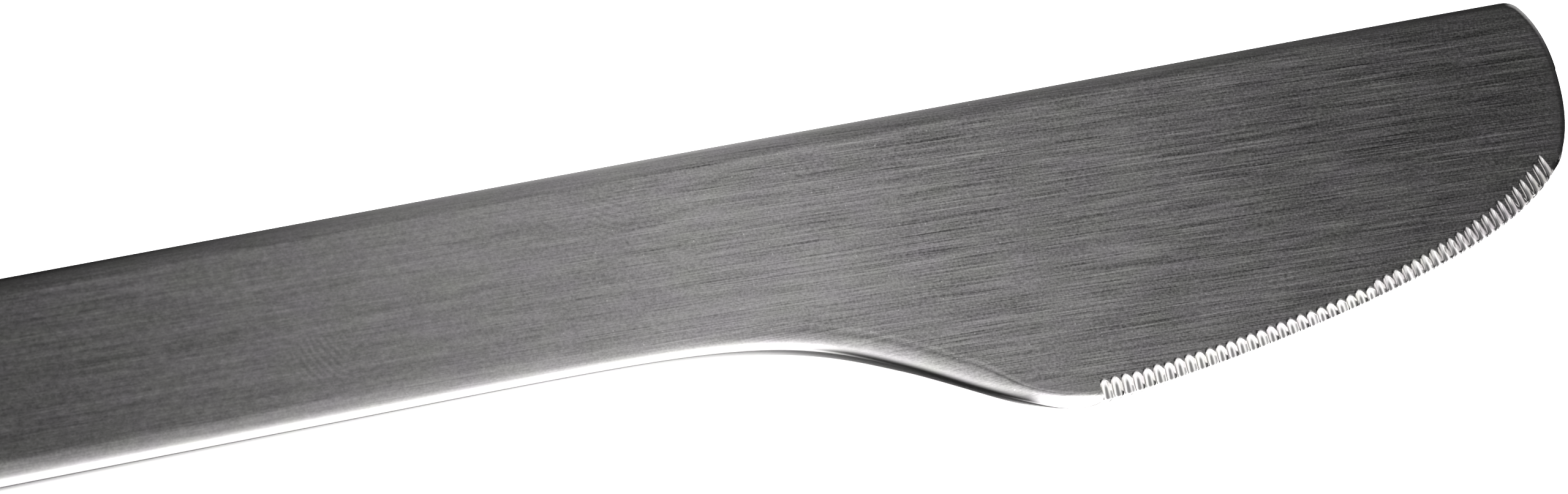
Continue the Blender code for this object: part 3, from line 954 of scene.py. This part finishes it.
class Studio:
    """The light that the steel reflects, by direction: x is to the right, y to the back and z up."""

    def __init__(self, nodes):
        self.nodes = nodes
        spot = nodes.add("ShaderNodeTexCoord").outputs["Generated"]
        self.x, self.y, self.z = nodes.add("ShaderNodeSeparateXYZ", {0: spot}).outputs
        self.forward = nodes.math("MULTIPLY", self.y, -1.0)
        self.down = nodes.math("MULTIPLY", self.z, -1.0)
        self.ahead = nodes.math("SUBTRACT", self.forward, nodes.ramp(self.x, *RIGHT_SHIFT))

    def above(self):
        """A large soft light above, which is brightest over the middle of the blade."""
        nodes = self.nodes
        rise = nodes.ramp(self.x, *ABOVE_RISE)
        falls = nodes.ramps(self.x, *ABOVE_FALLS)
        along = nodes.total(ABOVE_LEAST, nodes.product(rise, falls, ABOVE_PEAK))
        turned = nodes.math("SUBTRACT", self.forward, nodes.ramp(self.x, *ABOVE_TURN))
        spine_side = nodes.ramp(turned, *SPINE_SIDE, nodes.ramp(self.x, *SPINE_LIGHT), FULL_LIGHT)
        edge_side = nodes.ramp(self.forward, *EDGE_SIDE, 1.0, nodes.ramp(self.x, *EDGE_LIGHT))
        behind = nodes.ramp(self.y, *BACK_WALL)
        rim = nodes.product(behind, nodes.ramps(self.x, *RIM_LIGHTS))
        across = nodes.total(nodes.product(spine_side, edge_side), rim)
        lower_end = nodes.blend(behind, nodes.ramp(self.z, *ABOVE_END), nodes.ramp(self.z, *BACK_END))
        return nodes.product(along, across, lower_end, ABOVE_GAIN)

    def front(self):
        """Light in front of the knife, brighter near the horizon. Its left part lights the handle."""
        nodes = self.nodes
        to_horizon = nodes.math("SUBTRACT", 1.0, nodes.math("MAXIMUM", self.z, 0.0))
        left = nodes.total(nodes.ramps(self.x, *LEFT_LIGHTS), nodes.product(to_horizon, LEFT_HORIZON))
        left = nodes.product(left, nodes.ramp(self.z, *LEFT_END))
        low_light = nodes.product(to_horizon, to_horizon, nodes.ramp(self.x, *RIGHT_HORIZON))
        right = nodes.total(nodes.ramps(self.x, *RIGHT_LIGHTS), low_light)
        right = nodes.product(right, nodes.ramp(self.z, *RIGHT_END))
        slanted = nodes.total(self.x, nodes.product(self.forward, PARTS_SLANT))
        both = nodes.blend(nodes.ramp(slanted, *PARTS_BORDER), right, left)
        return nodes.product(both, nodes.ramp(self.ahead, *FRONT_BORDER))

    def table(self):
        """Light from below, as from a pale table in front of the knife."""
        nodes = self.nodes
        top = nodes.ramp(self.down, *TABLE_TOP)
        from_left = nodes.math("SUBTRACT", self.x, nodes.ramp(self.down, *LEFT_SHIFT))
        from_back = nodes.total(self.ahead, nodes.ramp(self.down, *BACK_SHIFT))
        slanted = nodes.total(self.x, nodes.product(self.y, UNDER_SLANT))
        under = nodes.blend(nodes.ramp(self.down, *UNDER_FROM), 1.0, nodes.ramp(slanted, *UNDER_LIGHT))
        left_end = nodes.ramp(from_left, *TABLE_LEFT)
        back_end = nodes.ramp(from_back, *TABLE_BACK)
        return nodes.product(top, left_end, back_end, under, TABLE_GAIN)

    def sides(self):
        """Two lights at the back, on the left and on the right."""
        nodes = self.nodes
        pair = []
        for by_x, by_y in (LEFT_SIDE, RIGHT_SIDE):
            pair.append(nodes.product(nodes.ramp(self.x, *by_x), nodes.ramp(self.y, *by_y)))
        return nodes.product(nodes.total(*pair), nodes.ramp(self.z, *SIDES_END), SIDES_GAIN)


def make_studio():
    """Sets the light of the studio. Behind the floor itself, plain white is seen."""
    world = bpy.data.worlds.new("studio")
    world.use_nodes = True
    bpy.context.scene.world = world
    nodes = Nodes(world.node_tree)
    studio = Studio(nodes)
    light = nodes.total(studio.above(), studio.front(), studio.table(), studio.sides(), AMBIENT)
    path = nodes.add("ShaderNodeLightPath")
    shown = nodes.blend(path.outputs["Is Camera Ray"], light, 1.0)
    shader = nodes.add("ShaderNodeBackground", {"Color": nodes.grey(shown), "Strength": 1.0})
    nodes.add("ShaderNodeOutputWorld", {"Surface": shader.outputs["Background"]})


# Camera, as the photo was taken
PHOTO_WIDTH = 2560
PIXELS_PER_MM = 23
LENS = 100
SENSOR = 36
TILT_X = math.radians(14)
TILT_Y = math.radians(14)
ROLL = math.radians(10.84)
AIM = Vector((43.3045 * MM, 4.3731 * MM, 0))


def make_camera():
    data = bpy.data.cameras.new("camera")
    data.lens = LENS
    data.sensor_width = SENSOR
    data.clip_start = 1 * MM
    camera = bpy.data.objects.new("camera", data)
    bpy.context.scene.collection.objects.link(camera)
    bpy.context.scene.camera = camera
    back = Vector((-math.sin(TILT_X), -math.sin(TILT_Y), 0))
    back.z = math.sqrt(1 - back.length_squared)
    level = (Vector((1, 0, 0)) - back * back.x).normalized()
    upright = back.cross(level)
    right = level * math.cos(ROLL) - upright * math.sin(ROLL)
    up = level * math.sin(ROLL) + upright * math.cos(ROLL)
    distance = PHOTO_WIDTH / PIXELS_PER_MM * LENS / SENSOR * MM
    camera.matrix_world = Matrix((right, up, back)).transposed().to_4x4()
    camera.matrix_world.translation = AIM + back * distance


def main():
    steel = brushed_steel()
    blade = make_blade(steel)
    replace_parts(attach(blade, "root"), "blade")
    for name, node, side in (
        ("handle_shell_upper", "handle_half_upper", 1),
        ("handle_shell_lower", "handle_half_lower", -1),
    ):
        shell = make_shell(name, side, steel)
        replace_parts(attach(shell, "root"), node)
    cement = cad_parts["tang_cement"]
    cement.data.materials.clear()
    cement.data.materials.append(cast_cement())
    make_floor()
    make_lamp()
    make_studio()
    make_camera()
    bpy.context.scene.view_settings.view_transform = "Standard"


main()
